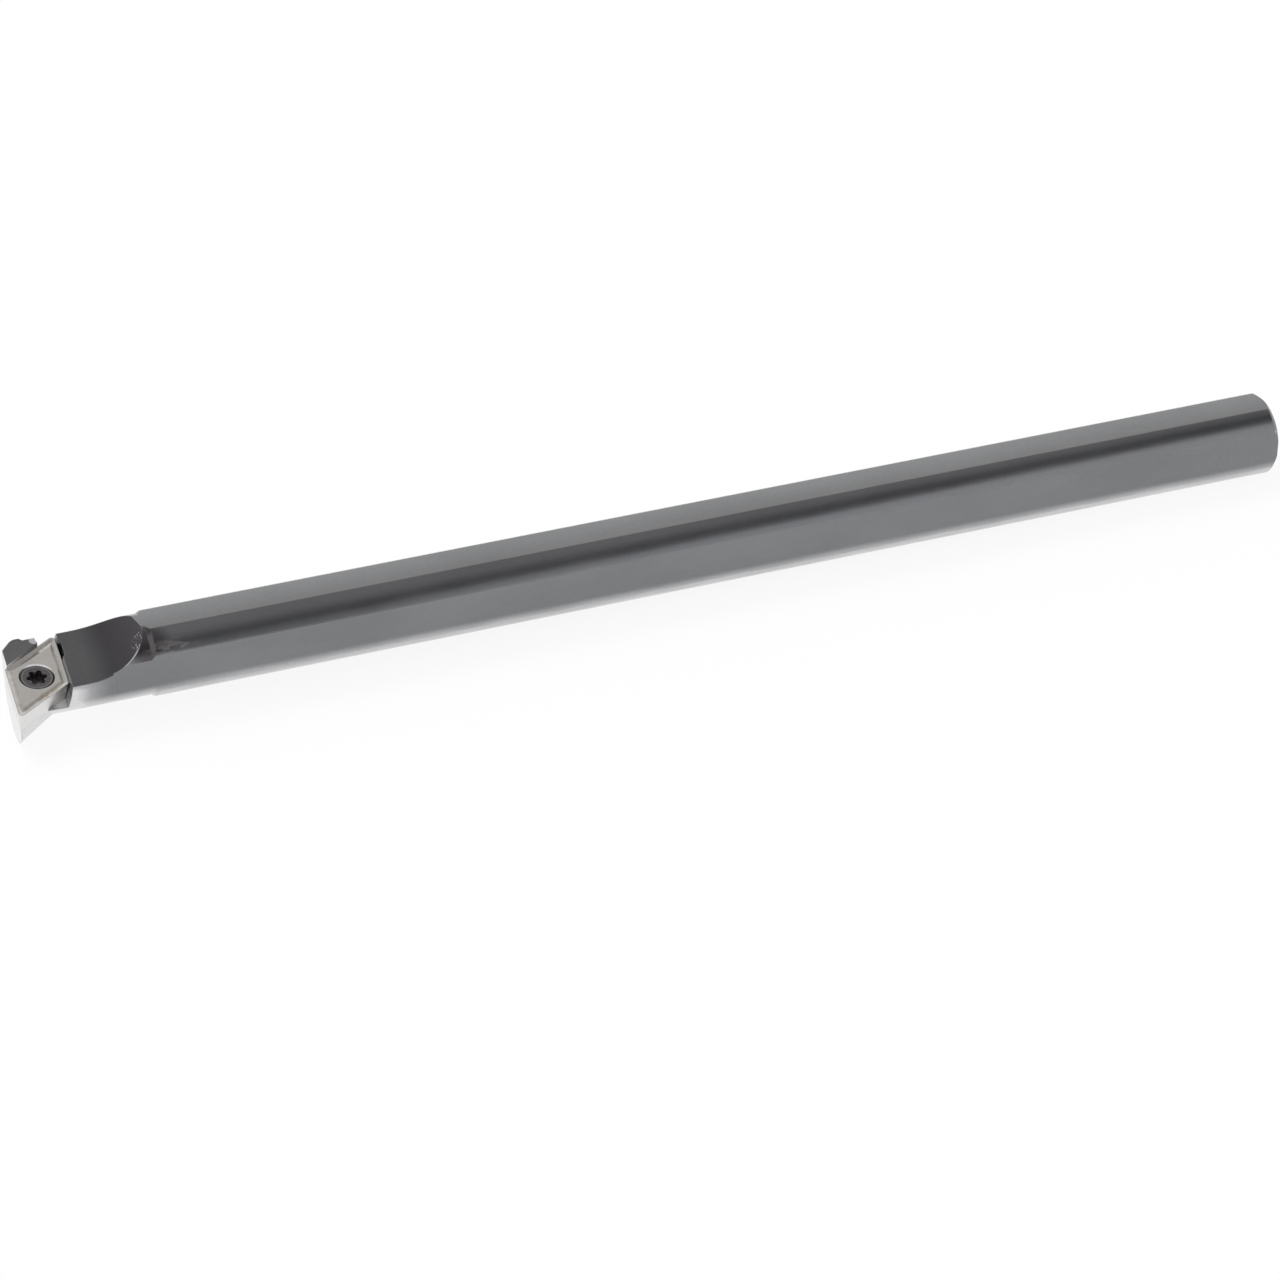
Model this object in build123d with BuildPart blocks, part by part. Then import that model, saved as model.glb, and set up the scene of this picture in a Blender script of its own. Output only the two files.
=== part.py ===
"""Boring bar: a right-hand steel bar that holds a small rhombic carbide insert with one clamp screw.

Millimetres. X runs along the bar, with the cutting head at -X and the rear end face at X = 0, Z is up,
and the cutting nose points to -Y. The origin is the centre of the rear end face.
"""
import os
from math import cos, radians, sin, tan

from build123d import *

# ---- shank -------------------------------------------------------------------------------------------
shank_dia = 9.525            # 3/8 inch round shank
overall_length = 152.4       # cutting nose to rear end face, 6 inch
rear_chamfer = 0.5
top_flat_depth = 0.42        # clamping flats milled along the shank
bottom_flat_depth = 0.42
front_flat_depth = 0.6
front_flat_start = 11.2      # distance of the front flat's end from the nose
flat_start = 13.2            # top and bottom flats, from the cutting nose

# ---- head --------------------------------------------------------------------------------------------
nose_offset = 7.2            # f: cutting nose to shank axis, across the bar
nose_drop = 0.25             # cutting nose below the shank axis as the bar lies on its flats
radial_tilt = 11.4           # the rake face leans towards the nose
axial_tilt = 3.3             # and falls away towards the rear
lead_angle = 2.6             # 93 degree approach
neck_dia = 9.0               # head turned down a little behind the insert
neck_length = 15.6           # nose to the shoulder where the full shank begins
shoulder_length = 0.5
neck_front_bevel = 1.75      # bevel on the front edge of the neck
collar_dia = 9.7             # slight collar round the ear
collar_length = 2.9          # from the cutting nose
collar_edge_radius = 1.2
face_setback = 0.3           # steel front face behind the cutting nose
chin_dia = 9.4               # eccentric swelling that carries the seat out under the nose
chin_shift_y = -1.6
chin_shift_z = -1.65
chin_length = 4.6            # nose to where the swelling has faded into the neck
chin_fade = 0.1              # it ends this far inside the neck
chin_foot_depth = 0.12       # small flat it rests on
chip_flat_height = 1.4       # chip flat above the shank axis, square to the rake face
chip_flat_length = 8.5       # nose to where the flat starts to sweep up
cutter_radius = 9.0          # radius of the sweep

# ---- insert ------------------------------------------------------------------------------------------
insert_angle = 55.0          # rhombus
insert_circle = 6.35         # inscribed circle, 1/4 inch
insert_thickness = 2.38
insert_clearance = 7.0       # flank angle
insert_nose_radius = 0.4
land_width = 0.12            # ground land round the top edge
groove_width = 0.75          # chip groove inside the land
groove_depth = 0.16
island_height = 0.12         # island above the groove floor
hole_dia = 2.8
countersink_dia = 4.0
countersink_angle = 60.0     # full cone angle, shared with the screw head

# ---- clamp screw -------------------------------------------------------------------------------------
thread_core_dia = 2.05       # M2.5, at the core: the thread itself is not cut
screw_length = 5.2           # head top to tip
screw_head_dia = 3.6
screw_head_rim = 0.18        # straight rim above the cone
screw_neck_dia = 2.2
screw_tip_chamfer = 0.25
screw_rim_break = 0.08       # broken edge round the head
screw_thread_gap = 0.2       # neck runs out to the thread above the seat
socket_tip_dia = 2.31        # six-lobe socket, point to point
socket_root_dia = 1.68       # and across the hollows
socket_depth = 1.0

# ---- pocket ------------------------------------------------------------------------------------------
wall_clearance = 0.02        # insert flank to pocket wall
tapped_hole_clearance = 0.03
corner_relief_radius = 1.15  # drilled relief at the insert's hidden sharp corner
corner_relief_shift = 1.4    # its centre, from that corner back along the ear's wall
wall_relief_width = 1.2      # relief slot along the rear wall
wall_relief_start = 2.0      # slot centres, from the hidden corner
wall_relief_length = 1.7
wall_relief_bite = 0.35      # how far the slot reaches into the wall
relief_below_seat = 0.1
trailing_setback = 0.35      # steel behind the insert's trailing edge, under the nose
trailing_lean = 8.0

# ---- worked-out values -------------------------------------------------------------------------------
shank_radius = shank_dia / 2
neck_radius = neck_dia / 2
collar_radius = collar_dia / 2
nose_x = -overall_length
edge_length = insert_circle / sin(radians(insert_angle))
past = 4 * shank_dia         # reaches past every outside surface

nose_point = Vector(nose_x, -nose_offset, -nose_drop)
tilted_frame = Plane((0, 0, 0)).rotated((radial_tilt, 0, 0))
tilt_axis = Axis((0, 0, 0), tilted_frame.y_dir)
rake_frame = Plane(
    origin=nose_point,
    x_dir=tilted_frame.x_dir.rotate(tilt_axis, axial_tilt),
    z_dir=tilted_frame.z_dir.rotate(tilt_axis, axial_tilt),
)
seat_frame = rake_frame.offset(-insert_thickness)
seat_inset = insert_thickness * tan(radians(insert_clearance))


def step(angle, distance=1.0):
    """A step in the rake plane, at an angle from its x direction."""
    return Vector(distance * cos(radians(angle)), distance * sin(radians(angle)))


lead_direction = 90 - lead_angle
trail_direction = lead_direction - insert_angle
lead_step = step(lead_direction)
trail_step = step(trail_direction)
nose_corner = Vector(0, 0)
front_corner = nose_corner + lead_step * edge_length
rear_corner = nose_corner + trail_step * edge_length
hidden_corner = front_corner + trail_step * edge_length
insert_centre = hidden_corner * 0.5
screw_frame = Plane(
    origin=rake_frame.from_local_coords(insert_centre), x_dir=rake_frame.x_dir, z_dir=rake_frame.z_dir
)


def rhombus(inset):
    """Corners of the insert's outline, with every side moved in by the inset."""
    long_step = (hidden_corner - nose_corner).normalized() * (inset / sin(radians(insert_angle / 2)))
    short_step = (rear_corner - front_corner).normalized() * (inset / cos(radians(insert_angle / 2)))
    return [
        nose_corner + long_step,
        rear_corner - short_step,
        hidden_corner - long_step,
        front_corner + short_step,
    ]


def rounded_rhombus(height, inset, corner_radius):
    """The insert's outline at a height above the rake face, moved in by the inset, with round corners."""
    with BuildSketch(rake_frame.offset(height)) as outline:
        with BuildLine():
            Polyline(*rhombus(inset), close=True)
        make_face()
        fillet(outline.vertices(), corner_radius)
    return outline.sketch


# ---- insert: moulded carbide, ground flanks, chip groove round a raised island -------------------------
groove_floor = land_width + groove_width / 2
groove_end = land_width + groove_width
cone_depth = (countersink_dia - hole_dia) / 2 / tan(radians(countersink_angle / 2))

with BuildPart() as insert:
    extrude(rounded_rhombus(0, 0, insert_nose_radius), amount=-insert_thickness, taper=insert_clearance)
    groove_mouth = rounded_rhombus(0, land_width, insert_nose_radius - land_width)
    groove_bottom = rounded_rhombus(-groove_depth, groove_floor, insert_nose_radius / 4)
    island_top = rounded_rhombus(island_height - groove_depth, groove_end, insert_nose_radius / 4)
    loft([groove_mouth, groove_bottom], ruled=True, mode=Mode.SUBTRACT)
    loft([groove_bottom, island_top], ruled=True)
    with BuildSketch(Plane(screw_frame.origin, x_dir=screw_frame.x_dir, z_dir=-screw_frame.y_dir)):
        with BuildLine():
            Polyline(
                (0, island_height),
                (countersink_dia / 2, island_height),
                (countersink_dia / 2, 0),
                (hole_dia / 2, -cone_depth),
                (hole_dia / 2, -2 * insert_thickness),
                (0, -2 * insert_thickness),
                close=True,
            )
        make_face()
    revolve(axis=Axis(screw_frame.origin, screw_frame.z_dir), mode=Mode.SUBTRACT)
insert.part.label = "insert"

# ---- clamp screw: cone head seated in the insert, six-lobe socket ---------------------------------------
head_drop = (countersink_dia - screw_head_dia) / 2 / tan(radians(countersink_angle / 2))
head_top = screw_head_rim - head_drop
neck_drop = (countersink_dia - screw_neck_dia) / 2 / tan(radians(countersink_angle / 2))
screw_tip = head_top - screw_length
lobe_radius = (socket_tip_dia - socket_root_dia) / 2
hollow_radius = lobe_radius * 0.9

with BuildPart() as clamp_screw:
    with BuildSketch(Plane(screw_frame.origin, x_dir=screw_frame.x_dir, z_dir=-screw_frame.y_dir)):
        with BuildLine():
            Polyline(
                (0, head_top),
                (screw_head_dia / 2 - screw_rim_break, head_top),
                (screw_head_dia / 2, head_top - screw_rim_break),
                (screw_head_dia / 2, -head_drop),
                (screw_neck_dia / 2, -neck_drop),
                (screw_neck_dia / 2, -insert_thickness + screw_thread_gap),
                (thread_core_dia / 2, -insert_thickness),
                (thread_core_dia / 2, screw_tip + screw_tip_chamfer),
                (thread_core_dia / 2 - screw_tip_chamfer, screw_tip),
                (0, screw_tip),
                close=True,
            )
        make_face()
    revolve(axis=Axis(screw_frame.origin, screw_frame.z_dir))
    with BuildSketch(screw_frame.offset(head_top)) as socket:
        Circle(socket_root_dia / 2)
        with PolarLocations(socket_tip_dia / 2 - lobe_radius, 6):
            Circle(lobe_radius)
    extrude(amount=-socket_depth, mode=Mode.SUBTRACT)
clamp_screw.part.label = "clamp_screw"

# ---- chin: eccentric swelling that carries the seat out under the cutting nose --------------------------
face_x = nose_x + face_setback
chin_front = Plane((face_x, 0, 0), x_dir=(0, 1, 0), z_dir=(1, 0, 0))
chin_rear = chin_front.offset(chin_length - face_setback)
seat_trail = [seat_frame.from_local_coords(corner) for corner in rhombus(seat_inset + trailing_setback)[:2]]

with BuildPart() as chin:
    with BuildSketch(chin_front):
        with Locations((chin_shift_y, chin_shift_z)):
            Circle(chin_dia / 2)
    with BuildSketch(chin_rear):
        Circle(neck_radius - chin_fade)
    loft(ruled=True)
    trail_cut = Plane(
        origin=seat_trail[0],
        x_dir=rake_frame.x_dir * trail_step.X + rake_frame.y_dir * trail_step.Y,
        z_dir=rake_frame.x_dir * trail_step.Y - rake_frame.y_dir * trail_step.X,
    ).rotated((-trailing_lean, 0, 0))
    split(bisect_by=trail_cut, keep=Keep.BOTTOM)

# ---- bar: turned blank, milled flats, chip flat and pocket ----------------------------------------------
shoulder_x = nose_x + neck_length
with BuildPart() as bar:
    with BuildSketch(Plane.XZ) as blank:
        with BuildLine():
            Polyline(
                (face_x, 0),
                (face_x, collar_radius - neck_front_bevel),
                (face_x + neck_front_bevel, collar_radius),
                (nose_x + collar_length, collar_radius),
                (nose_x + collar_length + collar_radius - neck_radius, neck_radius),
                (shoulder_x, neck_radius),
                (shoulder_x + shoulder_length, shank_radius),
                (-rear_chamfer, shank_radius),
                (0, shank_radius - rear_chamfer),
                (0, 0),
                close=True,
            )
        make_face()
        collar_edge = blank.vertices().sort_by_distance((face_x + neck_front_bevel, collar_radius))[0]
        fillet(collar_edge, collar_edge_radius)
    revolve(axis=Axis.X)
    add(chin.part)
    with Locations((face_x, 0, chin_shift_z - chin_dia / 2 + chin_foot_depth)):
        Box(2 * chin_length, past, past, align=(Align.CENTER, Align.CENTER, Align.MAX), mode=Mode.SUBTRACT)

    # flats along the shank
    for flat_z, flat_depth in ((1, top_flat_depth), (-1, bottom_flat_depth)):
        with Locations((nose_x + flat_start, 0, flat_z * (shank_radius - flat_depth + past / 2))):
            Box(
                overall_length + past,
                past,
                past,
                align=(Align.MIN, Align.CENTER, Align.CENTER),
                mode=Mode.SUBTRACT,
            )
    with Locations((nose_x + front_flat_start, -(shank_radius - front_flat_depth), 0)):
        Box(
            overall_length + past,
            past,
            past,
            align=(Align.MIN, Align.MAX, Align.CENTER),
            mode=Mode.SUBTRACT,
        )

    # chip flat over the head, swept up to the shank by the cutter's radius
    with BuildSketch(Plane(tilted_frame.origin, x_dir=(1, 0, 0), z_dir=-tilted_frame.y_dir)):
        sweep_x = nose_x + chip_flat_length
        sweep_top = Vector(sweep_x + cutter_radius, chip_flat_height + cutter_radius)
        with BuildLine():
            Line((nose_x - past, chip_flat_height), (sweep_x, chip_flat_height))
            RadiusArc((sweep_x, chip_flat_height), sweep_top, -cutter_radius)
            Line(sweep_top, (nose_x - past, sweep_top.Y))
            Line((nose_x - past, sweep_top.Y), (nose_x - past, chip_flat_height))
        make_face()
    extrude(amount=past, both=True, mode=Mode.SUBTRACT)

    # front face, parallel to the insert's leading edge
    with BuildSketch(Plane.XY):
        face_nose = Vector(face_x, -nose_offset)
        with BuildLine():
            Polyline(
                face_nose - lead_step * past,
                face_nose + lead_step * past,
                face_nose + lead_step * past - Vector(past, 0),
                face_nose - lead_step * past - Vector(past, 0),
                close=True,
            )
        make_face()
    extrude(amount=past, both=True, mode=Mode.SUBTRACT)

    # pocket: seat and two walls that lean with the insert's flanks
    seat_corners = rhombus(seat_inset - wall_clearance)
    wall_front = seat_corners[3] - trail_step * past
    wall_meet = seat_corners[2]
    wall_rear = wall_meet - lead_step * past
    with BuildSketch(seat_frame):
        with BuildLine():
            Polyline(wall_front, wall_meet, wall_rear, close=True)
        make_face()
    extrude(amount=past / 4, taper=-insert_clearance, mode=Mode.SUBTRACT)

    # reliefs at the hidden corner and along the rear wall, and the tapped hole
    relief_centre = hidden_corner - trail_step * corner_relief_shift
    slot_line = hidden_corner + Vector(wall_relief_bite - wall_relief_width / 2, 0)
    with BuildSketch(seat_frame.offset(-relief_below_seat)):
        with Locations(relief_centre):
            Circle(corner_relief_radius)
        with Locations(slot_line - lead_step * (wall_relief_start + wall_relief_length / 2)):
            SlotCenterToCenter(wall_relief_length, wall_relief_width, rotation=lead_direction)
    extrude(amount=past / 4, mode=Mode.SUBTRACT)
    with Locations(screw_frame.offset(-insert_thickness)):
        Cylinder(
            thread_core_dia / 2 + tapped_hole_clearance,
            past,
            align=(Align.CENTER, Align.CENTER, Align.MAX),
            mode=Mode.SUBTRACT,
        )
bar.part.label = "bar"

os.makedirs("parts", exist_ok=True)
export_step(bar.part, "parts/bar.step")
export_step(insert.part, "parts/insert.step")
export_step(clamp_screw.part, "parts/clamp_screw.step")
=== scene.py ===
"""Looks of the boring bar: blackened steel bar, carbide insert and clamp screw on a white table."""
from collections import namedtuple
from math import cos, pi, radians, sin

import bmesh
import bpy
from mathutils import Matrix, Vector


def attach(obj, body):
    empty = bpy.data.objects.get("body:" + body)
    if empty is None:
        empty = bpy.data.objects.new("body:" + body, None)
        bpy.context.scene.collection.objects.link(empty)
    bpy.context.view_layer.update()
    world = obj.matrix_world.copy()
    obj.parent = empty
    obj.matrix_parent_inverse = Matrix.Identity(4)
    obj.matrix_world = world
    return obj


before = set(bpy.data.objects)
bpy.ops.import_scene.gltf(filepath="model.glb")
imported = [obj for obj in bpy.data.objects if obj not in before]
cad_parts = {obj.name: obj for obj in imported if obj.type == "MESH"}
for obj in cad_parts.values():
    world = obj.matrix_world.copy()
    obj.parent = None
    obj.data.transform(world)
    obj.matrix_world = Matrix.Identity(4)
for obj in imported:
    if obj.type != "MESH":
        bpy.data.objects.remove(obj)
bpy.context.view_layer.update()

# ---- Bar ---------------------------------------------------------------------------------------------
# A turned steel shank with flats milled along it and a head milled for the insert, all one piece.
# It is black oxide over steel: satin where it was ground, duller in the milled chip flat and its ramp,
# and painted lighter on the neck and under the nose, painted light where a strong light from the left and
# below falls.
MM = 0.001
NOSE_X = -152.4 * MM
NECK_RADIUS = 4.5 * MM


class Wiring:
    """A node tree, with short names for the nodes that this object's finishes and room are made of."""

    def __init__(self, tree):
        self.tree = tree

    def node(self, kind, **settings):
        made = self.tree.nodes.new(kind)
        for name, value in settings.items():
            setattr(made, name, value)
        return made

    def join(self, source, target):
        """Link an output to a socket, or set the socket to a plain value."""
        if hasattr(source, "is_output"):
            self.tree.links.new(source, target)
        else:
            target.default_value = source

    def work_out(self, operation, *values):
        made = self.node("ShaderNodeMath", operation=operation)
        for value, socket in zip(values, made.inputs):
            self.join(value, socket)
        return made.outputs[0]

    def product(self, first, *others):
        for other in others:
            first = self.work_out("MULTIPLY", first, other)
        return first

    def most(self, first, *others):
        for other in others:
            first = self.work_out("MAXIMUM", first, other)
        return first

    def total(self, first, *others):
        for other in others:
            first = self.work_out("ADD", first, other)
        return first

    def rest_of(self, share):
        return self.work_out("SUBTRACT", 1.0, share)

    def vector(self, operation, *values):
        made = self.node("ShaderNodeVectorMath", operation=operation)
        for value, socket in zip(values, made.inputs):
            self.join(value, socket)
        return made.outputs["Value" if operation in ("DOT_PRODUCT", "LENGTH", "DISTANCE") else "Vector"]

    def parts_of(self, vector):
        made = self.node("ShaderNodeSeparateXYZ")
        self.join(vector, made.inputs[0])
        return made.outputs

    def band(self, value, span, out=(0.0, 1.0)):
        """Smooth step of a value: the first output at the span's first end, the second at its other end."""
        made = self.node("ShaderNodeMapRange", interpolation_type="SMOOTHSTEP")
        for name, number in zip(("From Min", "From Max", "To Min", "To Max"), (*span, *out)):
            made.inputs[name].default_value = number
        self.join(value, made.inputs["Value"])
        return made.outputs["Result"]

    def blend(self, share, first, second, kind="MIX"):
        made = self.node("ShaderNodeMix", data_type="RGBA", blend_type=kind)
        self.join(share, made.inputs["Factor"])
        self.join(first, made.inputs["A"])
        self.join(second, made.inputs["B"])
        return made.outputs["Result"]


class Finish(Wiring):
    """One material on the object's own coordinates."""

    def __init__(self, name):
        self.material = bpy.data.materials.new(name)
        self.material.use_nodes = True
        super().__init__(self.material.node_tree)
        self.shader = self.tree.nodes["Principled BSDF"].inputs
        self.place = self.node("ShaderNodeTexCoord").outputs["Object"]
        self.normal = self.node("ShaderNodeNewGeometry").outputs["Normal"]

    def near(self, patch):
        return self.band(self.vector("DISTANCE", self.place, patch.spot), patch.span)

    def grain(self, size, stretch=(1, 1, 1), detail=3.0, rough=0.55):
        """Noise about 0.5 whose spots are about that size in metres, drawn out by the stretch."""
        mapped = self.node("ShaderNodeMapping")
        mapped.inputs["Scale"].default_value = [1 / (size * drawn) for drawn in stretch]
        self.join(self.place, mapped.inputs["Vector"])
        noise = self.node("ShaderNodeTexNoise")
        noise.inputs["Scale"].default_value = 1.0
        noise.inputs["Detail"].default_value = detail
        noise.inputs["Roughness"].default_value = rough
        self.join(mapped.outputs["Vector"], noise.inputs["Vector"])
        return noise.outputs["Fac"]

    def waves(self, distance, per_metre):
        return self.work_out("SINE", self.work_out("MULTIPLY", distance, per_metre))

    def worn_edge(self, radius, bend=(0.995, 0.90)):
        """The normal with its edges rounded to the radius, and how much of an edge each place is."""
        rounded = self.node("ShaderNodeBevel", samples=6)
        rounded.inputs["Radius"].default_value = radius
        turned_away = self.vector("DOT_PRODUCT", rounded.outputs["Normal"], self.normal)
        return rounded.outputs["Normal"], self.band(turned_away, bend)

    def relief(self, height, depth, normal):
        made = self.node("ShaderNodeBump")
        made.inputs["Strength"].default_value = 1.0
        made.inputs["Distance"].default_value = depth
        self.join(height, made.inputs["Height"])
        self.join(normal, made.inputs["Normal"])
        return made.outputs["Normal"]


Patch = namedtuple("Patch", "spot span")

oxide = Finish("black_oxide_steel")
along, across, up = oxide.parts_of(oxide.place)
faces_along, _, faces_up = oxide.parts_of(oxide.normal)
from_nose = oxide.work_out("SUBTRACT", along, NOSE_X)
from_axis = oxide.vector("LENGTH", oxide.vector("MULTIPLY", oxide.place, (0, 1, 1)))
cloud = oxide.grain(6 * MM, stretch=(2.5, 1, 1))
speck = oxide.grain(0.35 * MM, detail=2.0)
streak = oxide.grain(0.9 * MM, stretch=(9, 1, 1), detail=4.0)

# Each pair below says where a mark starts and where it is full, as a distance or as how far the surface
# leans, from -1 to 1. Where a second pair follows on its line, it gives the shares or tones at those ends.
OXIDE = (0.205, 0.212, 0.218, 1)

# chip flat, which lies below the neck's skin and looks up, and the ramp that leans back from its end
OXIDE_HEAD = (0.128, 0.127, 0.131, 1)
OXIDE_RAMP = (0.070, 0.066, 0.071, 1)
NECK_SKIN = (NECK_RADIUS + 0.02 * MM, NECK_RADIUS - 0.12 * MM)
CHIP_FLAT_LEVEL = (0.45, 0.60)
CHIP_FLAT_END = (9.0 * MM, 8.4 * MM)
RAMP_LEAN = (0.0, -0.04)
RAMP_LEVEL = (0.45, 0.55)
RAMP_START = (8.2 * MM, 8.6 * MM)
RAMP_END = (15.55 * MM, 15.45 * MM)
RAMP_DARKENS = (8.6 * MM, 11.8 * MM)

chip_flat = oxide.product(
    oxide.band(from_axis, NECK_SKIN),
    oxide.band(faces_up, CHIP_FLAT_LEVEL),
    oxide.band(from_nose, CHIP_FLAT_END),
)
ramp = oxide.product(
    oxide.band(faces_along, RAMP_LEAN),
    oxide.band(faces_up, RAMP_LEVEL),
    oxide.band(from_nose, RAMP_START),
    oxide.band(from_nose, RAMP_END),
)
milled = oxide.most(chip_flat, ramp)
not_milled = oxide.rest_of(milled)
dark_ramp = oxide.product(ramp, oxide.band(from_nose, RAMP_DARKENS))
colour = oxide.blend(milled, OXIDE, OXIDE_HEAD)
colour = oxide.blend(dark_ramp, colour, OXIDE_RAMP)

# painted light: the neck beside and below the insert painted lighter, painted highlights on chin, front face
# and the pocket's open side
NECK_PAINTED_LIGHT = (0.42, 0.415, 0.425, 1)
PAINTED_HIGHLIGHT = (0.74, 0.735, 0.745, 1)
LEDGE_LIGHT_AND_FLECK = (0.90, 0.90, 0.89, 1)
PAINTED_NECK_LIGHT_END = (11.2 * MM, 7.6 * MM)
LOOKS_DOWN = (0.30, -0.05)
FRONT_SIDE = (2.2 * MM, 0.2 * MM)
CHIN_END = (8.8 * MM, 6.6 * MM)
UNDER_CHIN = (0.05, -0.05)
OPEN_SIDE = Patch((NOSE_X + 6.4 * MM, -3.4 * MM, -2.4 * MM), (2.0 * MM, 1.2 * MM))
FRONT_FACE_LEAN = (-0.85, -0.97)
FRONT_FACE_DEPTH = (3.0 * MM, 2.0 * MM)
LEDGE_LEVEL = (0.85, 0.95)

front_side = oxide.band(across, FRONT_SIDE)
painted_neck_light = oxide.product(oxide.band(from_nose, PAINTED_NECK_LIGHT_END), oxide.band(faces_up, LOOKS_DOWN), front_side)
chin = oxide.product(oxide.band(from_nose, CHIN_END), oxide.band(faces_up, UNDER_CHIN), front_side)
open_side = oxide.near(OPEN_SIDE)
front_face = oxide.product(oxide.band(faces_along, FRONT_FACE_LEAN), oxide.band(from_nose, FRONT_FACE_DEPTH))
# the ledge under the insert painted bright, painted light where it lies in shade
ledge = oxide.product(open_side, oxide.band(faces_up, LEDGE_LEVEL))
colour = oxide.blend(painted_neck_light, colour, NECK_PAINTED_LIGHT)
colour = oxide.blend(oxide.most(chin, open_side, front_face), colour, PAINTED_HIGHLIGHT)
colour = oxide.blend(ledge, colour, LEDGE_LIGHT_AND_FLECK)

# darker on the round of the neck just behind the ramp, and painted shade on its shoulder that darkens the
# shoulder's reflection
DARK_PATCH_AND_SHADE = (0.098, 0.093, 0.097, 1)
DARK_ROUND = Patch((-137.0 * MM, -3.4 * MM, 3.1 * MM), (3.1 * MM, 1.4 * MM))
DARK_ROUND_TOP = (0.99, 0.96)
DARK_ROUND_FOOT = (0.22, 0.40)
SHOULDER_LEAN = (-0.10, -0.30)
SHOULDER_LEVEL = (0.10, 0.30)
SHOULDER_START = (15.0 * MM, 15.4 * MM)
SHOULDER_SIDE = (3.0 * MM, 2.0 * MM)

dark_round = oxide.product(
    oxide.near(DARK_ROUND), oxide.band(faces_up, DARK_ROUND_FOOT), oxide.band(faces_up, DARK_ROUND_TOP)
)
shoulder = oxide.product(
    oxide.band(faces_along, SHOULDER_LEAN),
    oxide.band(faces_up, SHOULDER_LEVEL),
    oxide.band(from_nose, SHOULDER_START),
)
painted_shoulder_shade = oxide.product(shoulder, oxide.band(across, SHOULDER_SIDE))
dark_patch_and_shade = oxide.product(oxide.most(dark_round, painted_shoulder_shade), not_milled)
colour = oxide.blend(dark_patch_and_shade, colour, DARK_PATCH_AND_SHADE)

# top flat with a painted reflection: lighter along its far edge and darker along the near one
FLAT_PAINTED_HIGHLIGHT = (0.49, 0.44, 0.42, 1)
FLAT_PAINTED_SHADE = (0.135, 0.115, 0.108, 1)
TOP_FLAT_LEVEL = (0.97, 0.99)
FAR_EDGE, FAR_SHARE = (-0.4 * MM, 2.2 * MM), 0.10
NEAR_EDGE, NEAR_SHARE = (0.8 * MM, -2.1 * MM), 0.34

top_flat = oxide.product(oxide.band(faces_up, TOP_FLAT_LEVEL), not_milled)
far_edge_highlight = oxide.product(top_flat, oxide.band(across, FAR_EDGE, (0.0, FAR_SHARE)))
near_edge_shade = oxide.product(top_flat, oxide.band(across, NEAR_EDGE, (0.0, NEAR_SHARE)))
colour = oxide.blend(far_edge_highlight, colour, FLAT_PAINTED_HIGHLIGHT)
colour = oxide.blend(near_edge_shade, colour, FLAT_PAINTED_SHADE)

# painted reflection of the white table along the lower front edge of the shank, broken into streaks, but not
# round the rear end face
LOW_EDGE_TOP = (-1.4 * MM, -2.7 * MM)
LOW_EDGE_FOOT = (-4.6 * MM, -4.0 * MM)
LOW_EDGE_SIDE = (-1.0 * MM, -2.2 * MM)
NOT_END_FACE = (0.5, 0.2)
STREAKS, STREAK_SHARES = (0.2, 0.8), (0.45, 0.75)

low_edge_reflection = oxide.product(
    oxide.band(up, LOW_EDGE_TOP),
    oxide.band(up, LOW_EDGE_FOOT),
    oxide.band(across, LOW_EDGE_SIDE),
    oxide.band(faces_along, NOT_END_FACE),
    oxide.band(streak, STREAKS, STREAK_SHARES),
)
colour = oxide.blend(low_edge_reflection, colour, PAINTED_HIGHLIGHT)

# a thin painted shadow line where the front flat runs out into the round, fading towards the rear
FLAT_EDGE_SHADOW = (0.115, 0.115, 0.122, 1)
FLAT_EDGE_SHADOW_AT = (0, -4.13 * MM, 2.26 * MM)
FLAT_EDGE_SHADOW_WIDTH = (0.16 * MM, 0.05 * MM)
FLAT_EDGE_SHADOW_FADES, FLAT_EDGE_SHADOW_SHARES = (-70 * MM, -125 * MM), (0.08, 0.85)
FLAT_EDGE_SHADOW_START = (14.0 * MM, 16.0 * MM)

from_flat_edge = oxide.vector("DISTANCE", oxide.vector("MULTIPLY", oxide.place, (0, 1, 1)), FLAT_EDGE_SHADOW_AT)
flat_edge_shadow = oxide.product(
    oxide.band(from_flat_edge, FLAT_EDGE_SHADOW_WIDTH),
    oxide.band(along, FLAT_EDGE_SHADOW_FADES, FLAT_EDGE_SHADOW_SHARES),
    oxide.band(from_nose, FLAT_EDGE_SHADOW_START),
)
colour = oxide.blend(flat_edge_shadow, colour, FLAT_EDGE_SHADOW)

# pale rub marks drawn out behind the ramp, where chips slide off it
RUB_MARK = (0.37, 0.345, 0.345, 1)
RUB_AT = (-134.5 * MM, -3.78 * MM, 2.9 * MM)
RUB_DRAWN_OUT = (0.26, 1, 1)
RUB_REACH = (1.0 * MM, 0.4 * MM)
RUB_SPOTS = (0.44, 0.60)
RUB_OFF_SHOULDER, RUB_SHARE = (0.6, 0.1), 0.6

from_rub = oxide.vector("MULTIPLY", oxide.vector("SUBTRACT", oxide.place, RUB_AT), RUB_DRAWN_OUT)
rub = oxide.product(
    oxide.band(oxide.vector("LENGTH", from_rub), RUB_REACH),
    oxide.band(oxide.grain(0.5 * MM, stretch=(3, 1, 1)), RUB_SPOTS),
    oxide.band(shoulder, RUB_OFF_SHOULDER, (0.0, RUB_SHARE)),
)
colour = oxide.blend(rub, colour, RUB_MARK)

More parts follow.
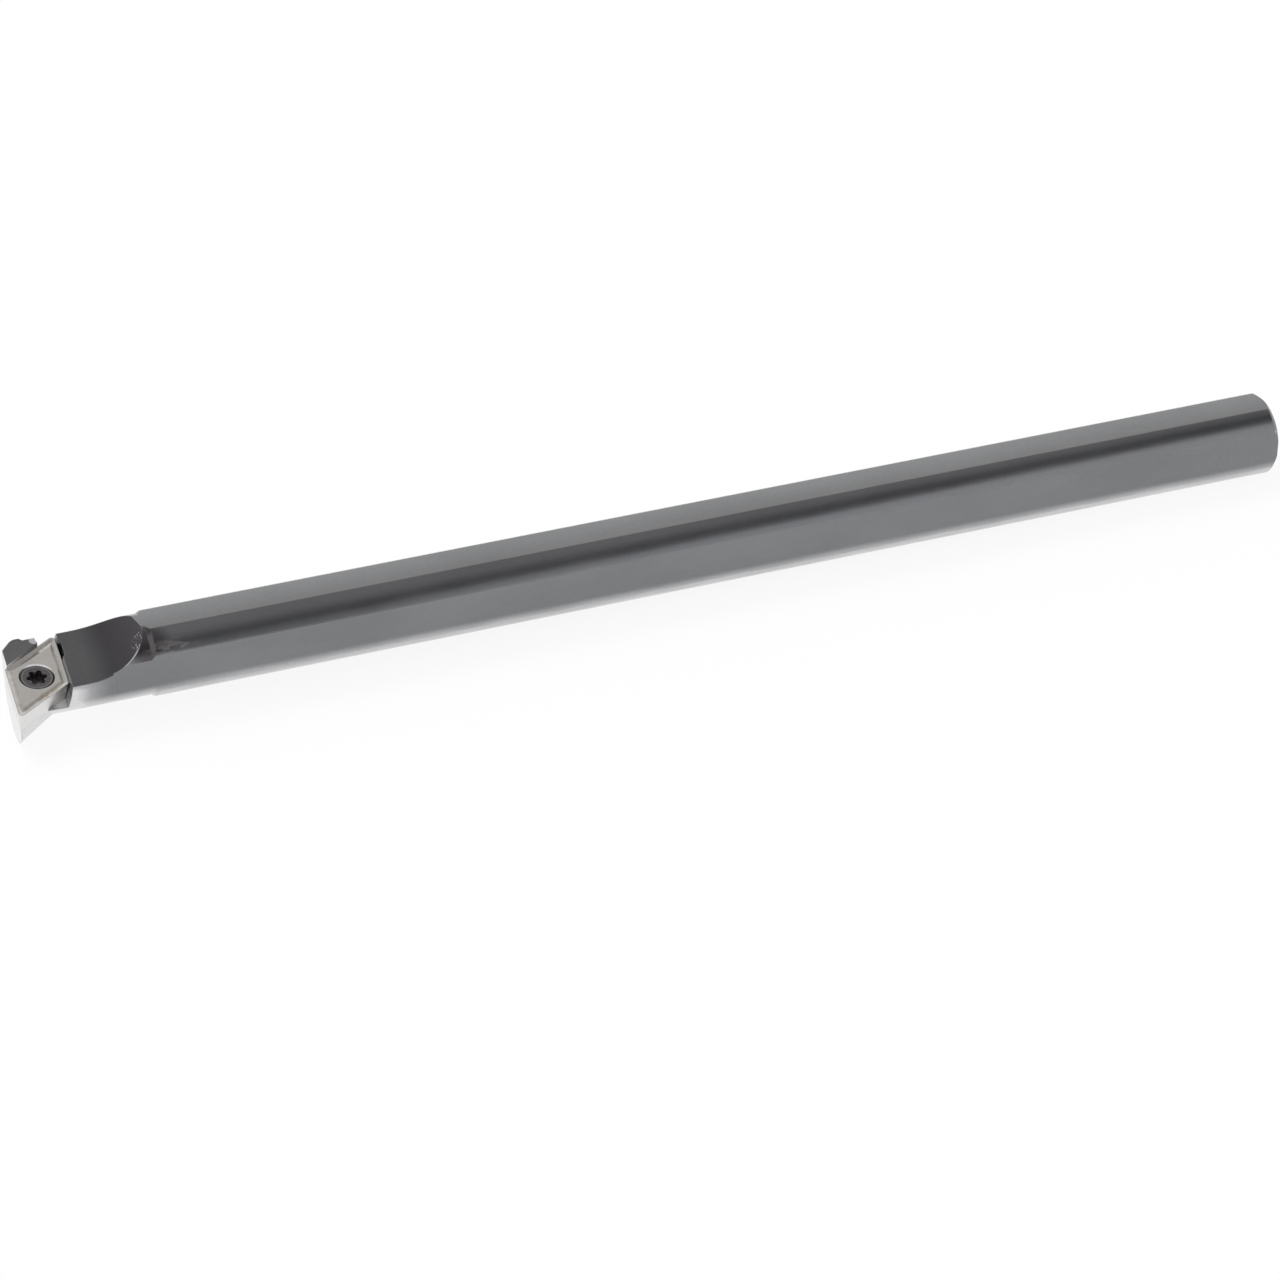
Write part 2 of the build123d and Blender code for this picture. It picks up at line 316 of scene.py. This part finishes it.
# painted glints in short bright arcs at the ramp's end, and a painted highlight along its front edge
RAMP_END_GLINTS = Patch((-137.7 * MM, -2.6 * MM, 3.5 * MM), (1.5 * MM, 0.5 * MM))
GLINT_SPOTS, GLINT_SHARE = (0.57, 0.66), 0.75
EDGE_DEPTH = (-0.22 * MM, -0.06 * MM)
EDGE_SIDE = (-3.0 * MM, -3.6 * MM)
EDGE_START, EDGE_SHARE = (11.8 * MM, 13.0 * MM), 0.8

glint_grain = oxide.grain(0.13 * MM, stretch=(1, 2.2, 5), detail=2.0)
ramp_end_glints = oxide.product(oxide.band(glint_grain, GLINT_SPOTS, (0.0, GLINT_SHARE)), oxide.near(RAMP_END_GLINTS), dark_ramp)
colour = oxide.blend(ramp_end_glints, colour, PAINTED_HIGHLIGHT)
ramp_edge_highlight = oxide.product(
    ramp,
    oxide.band(oxide.work_out("SUBTRACT", from_axis, NECK_RADIUS), EDGE_DEPTH),
    oxide.band(across, EDGE_SIDE),
    oxide.band(from_nose, EDGE_START, (0.0, EDGE_SHARE)),
)
colour = oxide.blend(ramp_edge_highlight, colour, PAINTED_HIGHLIGHT)

# a small ragged bright fleck on the rear chamfer
REAR_FLECK = Patch((-0.39 * MM, -4.03 * MM, 2.31 * MM), (0.24 * MM, 0.08 * MM))
RAGGED, RAGGED_SHARES = (0.38, 0.58), (0.15, 1.0)

rear_fleck = oxide.product(oxide.near(REAR_FLECK), oxide.band(speck, RAGGED, RAGGED_SHARES))
colour = oxide.blend(rear_fleck, colour, LEDGE_LIGHT_AND_FLECK)

# top of the ear behind the insert, and a painted highlight on its cut end
EAR_TOP = (0.165, 0.163, 0.167, 1)
EAR_END_HIGHLIGHT = (0.62, 0.60, 0.64, 1)
EAR_LENGTH = (4.8 * MM, 4.2 * MM)
EAR_SIDE = (0.0, 0.6 * MM)
EAR_LEVEL = (0.5, 0.7)
EAR_END = Patch((-147.95 * MM, 3.55 * MM, 2.1 * MM), (0.62 * MM, 0.45 * MM))

ear_top = oxide.product(
    oxide.band(from_nose, EAR_LENGTH), oxide.band(across, EAR_SIDE), oxide.band(faces_up, EAR_LEVEL)
)
colour = oxide.blend(ear_top, colour, EAR_TOP)
colour = oxide.blend(oxide.near(EAR_END), colour, EAR_END_HIGHLIGHT)

# slight unevenness of the oxide all over
CLOUDS, CLOUD_TONES = (0.3, 0.7), (0.95, 1.05)
SPECKS, SPECK_TONES = (0.3, 0.7), (-0.03, 0.03)

tone = oxide.total(oxide.band(cloud, CLOUDS, CLOUD_TONES), oxide.band(speck, SPECKS, SPECK_TONES))
tint = oxide.node("ShaderNodeCombineXYZ")
for socket in tint.inputs:
    oxide.join(tone, socket)
colour = oxide.blend(1.0, colour, tint.outputs[0], "MULTIPLY")

# edges worn lighter, except along the painted shadow line and round the rear chamfer, which kept its thick
# oxide
OXIDE_EDGE = (0.36, 0.355, 0.365, 1)
RIM_DARK = (0.105, 0.105, 0.110, 1)
EDGE_RADIUS = 0.14 * MM
WEAR_SPOTS, WEAR_SHARES = (0.35, 0.65), (0.25, 1.0)
RIM_LEAN = (0.30, 0.45)
RIM_NOT_END = (0.97, 0.85)
RIM_START, RIM_SHARE = (-1.4 * MM, -1.0 * MM), 0.7

rounded, edge = oxide.worn_edge(EDGE_RADIUS)
wear = oxide.band(oxide.grain(1.2 * MM, stretch=(3, 1, 1)), WEAR_SPOTS, WEAR_SHARES)
colour = oxide.blend(oxide.product(edge, wear, oxide.rest_of(flat_edge_shadow)), colour, OXIDE_EDGE)
rear_rim = oxide.product(
    oxide.band(faces_along, RIM_LEAN),
    oxide.band(faces_along, RIM_NOT_END),
    oxide.band(along, RIM_START, (0.0, RIM_SHARE)),
    oxide.rest_of(rear_fleck),
)
colour = oxide.blend(rear_rim, colour, RIM_DARK)
oxide.join(colour, oxide.shader["Base Color"])

# turning rings round the shank and neck, cutter swirls on the milled head, a fine tooth all over
RING_WIDTH, RING_HEIGHT = 0.10 * MM, 0.5
SWIRL_CENTRE = (NOSE_X + 9.5 * MM, 11.0 * MM, 1.5 * MM)
SWIRL_DRIFT_SIZE, SWIRL_DRIFT = 3 * MM, 0.6 * MM
SWIRLS_PER_METRE, SWIRL_HEIGHT = 24000.0, 0.55
SPECK_HEIGHT = 0.4
MARK_DEPTH = 0.004 * MM

rings = oxide.grain(RING_WIDTH, stretch=(1, 400, 400), detail=1.0)
drift = oxide.product(oxide.grain(SWIRL_DRIFT_SIZE), SWIRL_DRIFT)
from_cutter = oxide.total(oxide.vector("DISTANCE", oxide.place, SWIRL_CENTRE), drift)
swirls = oxide.product(oxide.waves(from_cutter, SWIRLS_PER_METRE), milled)
marks = oxide.total(
    oxide.product(rings, RING_HEIGHT), oxide.product(swirls, SWIRL_HEIGHT), oxide.product(speck, SPECK_HEIGHT)
)
oxide.join(oxide.relief(marks, MARK_DEPTH, rounded), oxide.shader["Normal"])

# satin shank, duller milled head and rub marks; the ledge under the insert, painted bright, is not a mirror
SHANK_ROUGHNESS = 0.17
HEAD_ROUGHNESS = 0.40
CLOUD_SPOTS, CLOUD_ROUGHNESS = (0.25, 0.75), (-0.03, 0.03)
SWIRL_ROUGHNESS = 0.05
RUB_ROUGHNESS = 0.12
METAL = 0.9

roughness = oxide.total(
    oxide.product(milled, HEAD_ROUGHNESS - SHANK_ROUGHNESS),
    SHANK_ROUGHNESS,
    oxide.band(cloud, CLOUD_SPOTS, CLOUD_ROUGHNESS),
    oxide.product(swirls, SWIRL_ROUGHNESS),
    oxide.product(rub, RUB_ROUGHNESS),
)
oxide.join(roughness, oxide.shader["Roughness"])
oxide.join(oxide.product(oxide.rest_of(ledge), METAL), oxide.shader["Metallic"])

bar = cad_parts["bar"]
bar.material_slots[0].material = oxide.material

# ---- Insert ------------------------------------------------------------------------------------------
# A rhombic cutting insert of sintered carbide, moulded with a chip groove and a countersunk hole.
# Its flanks and the land along its edges are ground bright, and its edges carry a painted highlight; the
# groove and island stay as sintered.
INSERT_ANGLE = 55.0
INSERT_CIRCLE = 6.35 * MM
LEAD_ANGLE = 2.6
NOSE_OFFSET, NOSE_DROP = 7.2 * MM, 0.25 * MM
TILT_ACROSS, TILT_ALONG = 11.4, 3.3

tilt = Matrix.Rotation(radians(TILT_ACROSS), 4, "X") @ Matrix.Rotation(radians(TILT_ALONG), 4, "Y")
side = INSERT_CIRCLE / sin(radians(INSERT_ANGLE))
lead_way = radians(90 - LEAD_ANGLE)
trail_way = lead_way - radians(INSERT_ANGLE)
to_centre = Vector((cos(lead_way) + cos(trail_way), sin(lead_way) + sin(trail_way), 0)) * side / 2
rake_place = Matrix.Translation((NOSE_X, -NOSE_OFFSET, -NOSE_DROP)) @ tilt
hole_place = rake_place @ Matrix.Translation(to_centre)
rake_normal = tilt.to_3x3() @ Vector((0, 0, 1))

CARBIDE = (0.63, 0.61, 0.58, 1)
CARBIDE_GROUND = (0.76, 0.755, 0.74, 1)
CARBIDE_GROOVE = (0.50, 0.47, 0.405, 1)
TOP_LEVEL = (0.55, 0.80)
BELOW_LAND = (-0.012 * MM, -0.12 * MM)
GROOVE_MOTTLE = (0.35, 0.65)

carbide = Finish("cutting_carbide")
mottle = carbide.grain(0.7 * MM, detail=5.0, rough=0.62)
pore = carbide.grain(0.05 * MM, detail=2.0)
on_top = carbide.band(carbide.vector("DOT_PRODUCT", carbide.normal, tuple(rake_normal)), TOP_LEVEL)
from_hole = carbide.vector("SUBTRACT", carbide.place, tuple(hole_place.translation))
height = carbide.vector("DOT_PRODUCT", from_hole, tuple(rake_normal))
sintered = carbide.product(on_top, carbide.band(height, BELOW_LAND))
groove = carbide.product(sintered, carbide.band(mottle, GROOVE_MOTTLE))
colour = carbide.blend(on_top, CARBIDE_GROUND, CARBIDE)
colour = carbide.blend(groove, colour, CARBIDE_GROOVE)

# a spot of rust by the near edge, and an olive cast in the groove beside it
RUST_SPOT = (0.46, 0.31, 0.24, 1)
RUST = Patch((-148.91 * MM, -4.42 * MM, 0.0), (0.7 * MM, 0.2 * MM))
RUST_PITS, RUST_SHARE = (0.40, 0.60), 0.7
OLIVE_CAST = (0.50, 0.47, 0.33, 1)
OLIVE = Patch((-147.60 * MM, -3.30 * MM, 0.1 * MM), (2.1 * MM, 0.6 * MM))
OLIVE_MOTTLE, OLIVE_SHARE = (0.35, 0.60), 0.55

pits = carbide.band(carbide.grain(0.35 * MM, detail=4.0), RUST_PITS, (0.0, RUST_SHARE))
colour = carbide.blend(carbide.product(carbide.near(RUST), pits), colour, RUST_SPOT)
cast = carbide.band(mottle, OLIVE_MOTTLE, (0.0, OLIVE_SHARE))
colour = carbide.blend(carbide.product(carbide.near(OLIVE), sintered, cast), colour, OLIVE_CAST)

# ground edges painted lighter, a painted highlight where they catch the light; grinding lines run up the
# flanks, and the top is finely pitted
CARBIDE_EDGE_HIGHLIGHT = (0.86, 0.85, 0.83, 1)
CARBIDE_EDGE_RADIUS, CARBIDE_HIGHLIGHT_SHARE = 0.06 * MM, 0.6
GRIND_HEIGHT = 0.5
CARBIDE_DEPTH = 0.004 * MM
MOTTLE_SPOTS, MOTTLE_ROUGHNESS = (0.25, 0.75), (0.26, 0.38)

rounded, edge = carbide.worn_edge(CARBIDE_EDGE_RADIUS)
colour = carbide.blend(carbide.product(edge, CARBIDE_HIGHLIGHT_SHARE), colour, CARBIDE_EDGE_HIGHLIGHT)
carbide.join(colour, carbide.shader["Base Color"])
grind = carbide.grain(0.06 * MM, stretch=(14, 14, 0.6), detail=2.0)
tooth = carbide.total(carbide.product(grind, GRIND_HEIGHT), carbide.product(pore, on_top))
carbide.join(carbide.relief(tooth, CARBIDE_DEPTH, rounded), carbide.shader["Normal"])
carbide.join(carbide.band(mottle, MOTTLE_SPOTS, MOTTLE_ROUGHNESS), carbide.shader["Roughness"])
carbide.shader["Metallic"].default_value = 1.0

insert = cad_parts["insert"]
insert.material_slots[0].material = carbide.material

# ---- Clamp screw -------------------------------------------------------------------------------------
# A small blackened steel screw with a cone head and a six-lobe socket, which clamps the insert.
# Head and shank are turned in one piece; its thread is rolled, so it is a ridge wound on the core.
SCREW_BLACK = (0.125, 0.118, 0.120, 1)
SCREW_RUBBED_AND_SHEEN = (0.30, 0.29, 0.295, 1)
SCREW_GAP_SHADOW = (0.035, 0.032, 0.032, 1)
SCUFFS, SCUFF_SHARE = (0.45, 0.75), 0.35
SCREW_EDGE_RADIUS, SCREW_EDGE_SHARE = 0.05 * MM, 0.7
RIM_INSIDE, RIM_OUTSIDE = (1.50 * MM, 1.58 * MM), (1.72 * MM, 1.66 * MM)
RIM_LIGHT_SHARE = 0.55
HEAD_GAP = (1.71 * MM, 1.77 * MM)
RINGS_PER_METRE, TURNED_HEIGHT = 70000.0, 0.3
SCREW_DEPTH = 0.003 * MM
SCUFF_SPOTS, SCUFF_ROUGHNESS = (0.25, 0.75), (0.30, 0.46)

black = Finish("screw_black")
scuff = black.grain(0.4 * MM, detail=4.0)
rounded, edge = black.worn_edge(SCREW_EDGE_RADIUS)
from_hole = black.vector("SUBTRACT", black.place, tuple(hole_place.translation))
head_reach = black.vector("LENGTH", black.vector("CROSS_PRODUCT", from_hole, tuple(rake_normal)))
# a painted highlight in a ring round the head's rim
painted_rim_highlight = black.product(
    black.band(head_reach, RIM_INSIDE), black.band(head_reach, RIM_OUTSIDE, (0.0, RIM_LIGHT_SHARE))
)
colour = black.blend(black.band(scuff, SCUFFS, (0.0, SCUFF_SHARE)), SCREW_BLACK, SCREW_RUBBED_AND_SHEEN)
colour = black.blend(black.product(edge, SCREW_EDGE_SHARE), colour, SCREW_RUBBED_AND_SHEEN)
colour = black.blend(painted_rim_highlight, colour, SCREW_RUBBED_AND_SHEEN)
# painted shadow in the gap between the head and the countersink
colour = black.blend(black.band(head_reach, HEAD_GAP), colour, SCREW_GAP_SHADOW)
black.join(colour, black.shader["Base Color"])
turned = black.waves(head_reach, RINGS_PER_METRE)
tooth = black.total(black.product(turned, TURNED_HEIGHT), scuff)
black.join(black.relief(tooth, SCREW_DEPTH, rounded), black.shader["Normal"])
black.join(black.band(scuff, SCUFF_SPOTS, SCUFF_ROUGHNESS), black.shader["Roughness"])
black.shader["Metallic"].default_value = METAL

clamp_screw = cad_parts["clamp_screw"]
clamp_screw.material_slots[0].material = black.material

STEPS_A_TURN, RIDGE_SIDES = 36, 3


def wound_thread(name, material, sizes, place):
    """A ridge wound on a spiral about the place's z axis, from its origin along +z, as a plain mesh."""
    tree = bpy.data.node_groups.new(name + "_tree", "GeometryNodeTree")
    tree.interface.new_socket("Geometry", in_out="OUTPUT", socket_type="NodeSocketGeometry")
    sockets = {
        size: tree.interface.new_socket(size, in_out="INPUT", socket_type="NodeSocketFloat").identifier
        for size in sizes
    }
    winding = Wiring(tree)
    given = winding.node("NodeGroupInput").outputs
    turns = winding.node("ShaderNodeMath", operation="DIVIDE")
    spiral = winding.node("GeometryNodeCurveSpiral")
    spiral.inputs["Resolution"].default_value = STEPS_A_TURN
    section = winding.node("GeometryNodeCurvePrimitiveCircle")
    section.inputs["Resolution"].default_value = RIDGE_SIDES
    ridge = winding.node("GeometryNodeCurveToMesh")
    ridge.inputs["Fill Caps"].default_value = True
    real = winding.node("GeometryNodeRealizeInstances")
    coat = winding.node("GeometryNodeSetMaterial")
    coat.inputs["Material"].default_value = material
    out = winding.node("NodeGroupOutput")
    for source, target in (
        (given["Length"], turns.inputs[0]),
        (given["Pitch"], turns.inputs[1]),
        (turns.outputs[0], spiral.inputs["Rotations"]),
        (given["Radius"], spiral.inputs["Start Radius"]),
        (given["Radius"], spiral.inputs["End Radius"]),
        (given["Length"], spiral.inputs["Height"]),
        (given["Depth"], section.inputs["Radius"]),
        (spiral.outputs["Curve"], ridge.inputs["Curve"]),
        (section.outputs["Curve"], ridge.inputs["Profile Curve"]),
        (ridge.outputs["Mesh"], real.inputs["Geometry"]),
        (real.outputs["Geometry"], coat.inputs["Geometry"]),
        (coat.outputs["Geometry"], out.inputs["Geometry"]),
    ):
        winding.join(source, target)

    wound = bpy.data.objects.new(name, bpy.data.meshes.new(name))
    bpy.context.scene.collection.objects.link(wound)
    live = wound.modifiers.new("winding", "NODES")
    live.node_group = tree
    for size, value in sizes.items():
        live[sockets[size]] = value
    bpy.context.view_layer.update()
    solid = bpy.data.meshes.new_from_object(wound.evaluated_get(bpy.context.evaluated_depsgraph_get()))
    solid.transform(place)
    skin = bmesh.new()
    skin.from_mesh(solid)
    bmesh.ops.recalc_face_normals(skin, faces=skin.faces)
    skin.to_mesh(solid)
    skin.free()
    wound.modifiers.clear()
    wound.data = solid
    return wound


CORE_RADIUS = 1.025 * MM
THREAD_PITCH, THREAD_DEPTH = 0.45 * MM, 0.20 * MM
THREAD_FOOT, THREAD_TOP = 4.95 * MM, 2.50 * MM      # below the rake face, along the screw

screw_thread_sizes = {
    "Radius": CORE_RADIUS + THREAD_DEPTH / 4,
    "Depth": THREAD_DEPTH / 2,
    "Pitch": THREAD_PITCH,
    "Length": THREAD_FOOT - THREAD_TOP,
}
thread_foot = hole_place @ Matrix.Translation((0, 0, -THREAD_FOOT))
screw_thread = wound_thread("screw_thread", black.material, screw_thread_sizes, thread_foot)
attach(screw_thread, "root")

# ---- Tapped hole -------------------------------------------------------------------------------------
# The thread tapped through the seat for the clamp screw, in the bar's own blackened steel.
# It shows below the screw's tip, where the hole comes out under the head.
HOLE_RADIUS = 1.055 * MM
TAPPED_INSET, TAPPED_DEPTH = 0.02 * MM, 0.11 * MM
TAPPED_FOOT, TAPPED_TOP = 5.75 * MM, 5.25 * MM      # below the rake face, along the screw

tapped_thread_sizes = {
    "Radius": HOLE_RADIUS + TAPPED_INSET,
    "Depth": TAPPED_DEPTH,
    "Pitch": THREAD_PITCH,
    "Length": TAPPED_FOOT - TAPPED_TOP,
}
tapped_foot = hole_place @ Matrix.Translation((0, 0, -TAPPED_FOOT))
tapped_thread = wound_thread("tapped_thread", oxide.material, tapped_thread_sizes, tapped_foot)
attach(tapped_thread, "root")

# ---- Table -------------------------------------------------------------------------------------------
# A wide white table top. The bar lies on it on the flat at its rear and the foot under its chin,
# which hangs a little lower than the shank, so the table tilts with that line.
REAR_REST = Vector((-0.5 * MM, 0, -4.3425 * MM))
CHIN_REST = Vector((-152.1 * MM, 0, -6.23 * MM))
TABLE_HALF = 3.0
TABLE_WHITE = (0.92, 0.92, 0.92, 1)
TABLE_GLOW, GLOW_SHARE = 1.0, 0.9

slope = (REAR_REST.z - CHIN_REST.z) / (REAR_REST.x - CHIN_REST.x)
corners = [
    (x * TABLE_HALF, y * TABLE_HALF, REAR_REST.z + (x * TABLE_HALF - REAR_REST.x) * slope)
    for x, y in ((-1, -1), (1, -1), (1, 1), (-1, 1))
]
top = bpy.data.meshes.new("table")
top.from_pydata(corners, [], [(0, 1, 2, 3)])
table = bpy.data.objects.new("table", top)
bpy.context.scene.collection.objects.link(table)

white = bpy.data.materials.new("table_white")
white.use_nodes = True
white.node_tree.nodes.clear()
enamel = Wiring(white.node_tree)
rays = enamel.node("ShaderNodeLightPath").outputs
paint = enamel.node("ShaderNodeBsdfDiffuse")
paint.inputs["Color"].default_value = TABLE_WHITE
glow = enamel.node("ShaderNodeEmission")
glow.inputs["Strength"].default_value = TABLE_GLOW
seen = enamel.most(rays["Is Camera Ray"], rays["Is Glossy Ray"], rays["Is Transmission Ray"])
glowing = enamel.product(seen, GLOW_SHARE)
mixed = enamel.node("ShaderNodeMixShader")
for source, socket in zip((glowing, paint.outputs[0], glow.outputs[0]), mixed.inputs):
    enamel.join(source, socket)
enamel.join(mixed.outputs[0], enamel.node("ShaderNodeOutputMaterial").inputs["Surface"])
top.materials.append(white)

# ---- Light -------------------------------------------------------------------------------------------
# A bright room round a white table: walls white to a third of the way up, and a darker ceiling
# that leaves the dark band along the shank. A soft lamp overhead lights it plainly.
WALL_WHITE = (1, 1, 1, 1)
# how far round the bar's axis, from the wall behind over the top to the wall in front, and the shade there
CEILING = (
    (0.000, (1.00, 1.00, 1.00)),
    (0.200, (1.00, 1.00, 1.00)),
    (0.275, (0.60, 0.60, 0.60)),
    (0.460, (0.44, 0.43, 0.44)),
    (0.585, (0.42, 0.41, 0.42)),
    (0.650, (0.27, 0.26, 0.27)),
    (0.695, (0.125, 0.125, 0.125)),
    (0.745, (0.11, 0.11, 0.11)),
    (0.778, (0.24, 0.24, 0.24)),
    (0.808, (0.33, 0.32, 0.33)),
    (0.822, (0.70, 0.67, 0.72)),
    (0.835, (0.98, 0.94, 1.00)),
    (0.885, (1.00, 1.00, 1.00)),
)
CEILING_TURN, CEILING_AT = 0.62, 0.25
WALL_TOP = (sin(radians(12)), sin(radians(24)))

world = bpy.data.worlds.new("room")
bpy.context.scene.world = world
world.use_nodes = True
room = Wiring(world.node_tree)
way_along, way_across, way_up = room.parts_of(room.node("ShaderNodeTexCoord").outputs["Generated"])

# the ceiling's shades run round the bar's axis, and in front of it they turn a little along the bar
round_axis = room.work_out("DIVIDE", room.work_out("ARCTAN2", way_up, way_across), pi)
turned_along = room.work_out("MULTIPLY_ADD", way_along, CEILING_TURN, -CEILING_TURN * CEILING_AT)
in_front = room.work_out("LESS_THAN", way_across, 0.0)
ceiling = room.node("ShaderNodeValToRGB")
ceiling.color_ramp.interpolation = "LINEAR"
while len(ceiling.color_ramp.elements) < len(CEILING):
    ceiling.color_ramp.elements.new(0.5)
for element, (position, shade) in zip(ceiling.color_ramp.elements, CEILING):
    element.position = position
    element.color = (*shade, 1)
room.join(room.work_out("MULTIPLY_ADD", in_front, turned_along, round_axis), ceiling.inputs["Fac"])
above_wall = room.band(way_up, WALL_TOP)
background = world.node_tree.nodes["Background"].inputs
room.join(room.blend(above_wall, WALL_WHITE, ceiling.outputs["Color"]), background["Color"])
background["Strength"].default_value = 1.0

LAMP_PLACE = Vector((-0.45, 0.45, 1.1))
LAMP_AIM = Vector((-0.08, 0, 0))
LAMP_SIZE = (1.0, 0.7)
LAMP_WATTS = 9.0

soft = bpy.data.lights.new("soft_lamp", "AREA")
soft.shape = "RECTANGLE"
soft.size, soft.size_y = LAMP_SIZE
soft.energy = LAMP_WATTS
soft_lamp = bpy.data.objects.new("soft_lamp", soft)
bpy.context.scene.collection.objects.link(soft_lamp)
soft_lamp.location = LAMP_PLACE
soft_lamp.rotation_euler = (LAMP_AIM - LAMP_PLACE).to_track_quat("-Z", "Y").to_euler()
soft_lamp.visible_glossy = False

# ---- Camera ------------------------------------------------------------------------------------------
# A long lens a little above the bar and in front of it, towards the nose end, looking back across it.
# The bar runs from the lower left to the upper right of a square frame.
CAMERA_PLACE = (-0.2302575, -0.3918386, 0.2601407)
CAMERA_RIGHT = Vector((0.93369352, -0.35804776, 0.00426691))
CAMERA_UP = Vector((0.19101347, 0.5081209, 0.83983749))
LENS_MM, SENSOR_MM = 122.967, 36
NEAREST = 0.01

lens = bpy.data.cameras.new("camera")
lens.lens, lens.sensor_width, lens.sensor_fit = LENS_MM, SENSOR_MM, "HORIZONTAL"
lens.clip_start = NEAREST
camera = bpy.data.objects.new("camera", lens)
bpy.context.scene.collection.objects.link(camera)
turn = Matrix((CAMERA_RIGHT, CAMERA_UP, CAMERA_RIGHT.cross(CAMERA_UP))).transposed()
camera.matrix_world = Matrix.Translation(CAMERA_PLACE) @ turn.to_4x4()
bpy.context.scene.camera = camera
bpy.context.scene.view_settings.view_transform = "Standard"
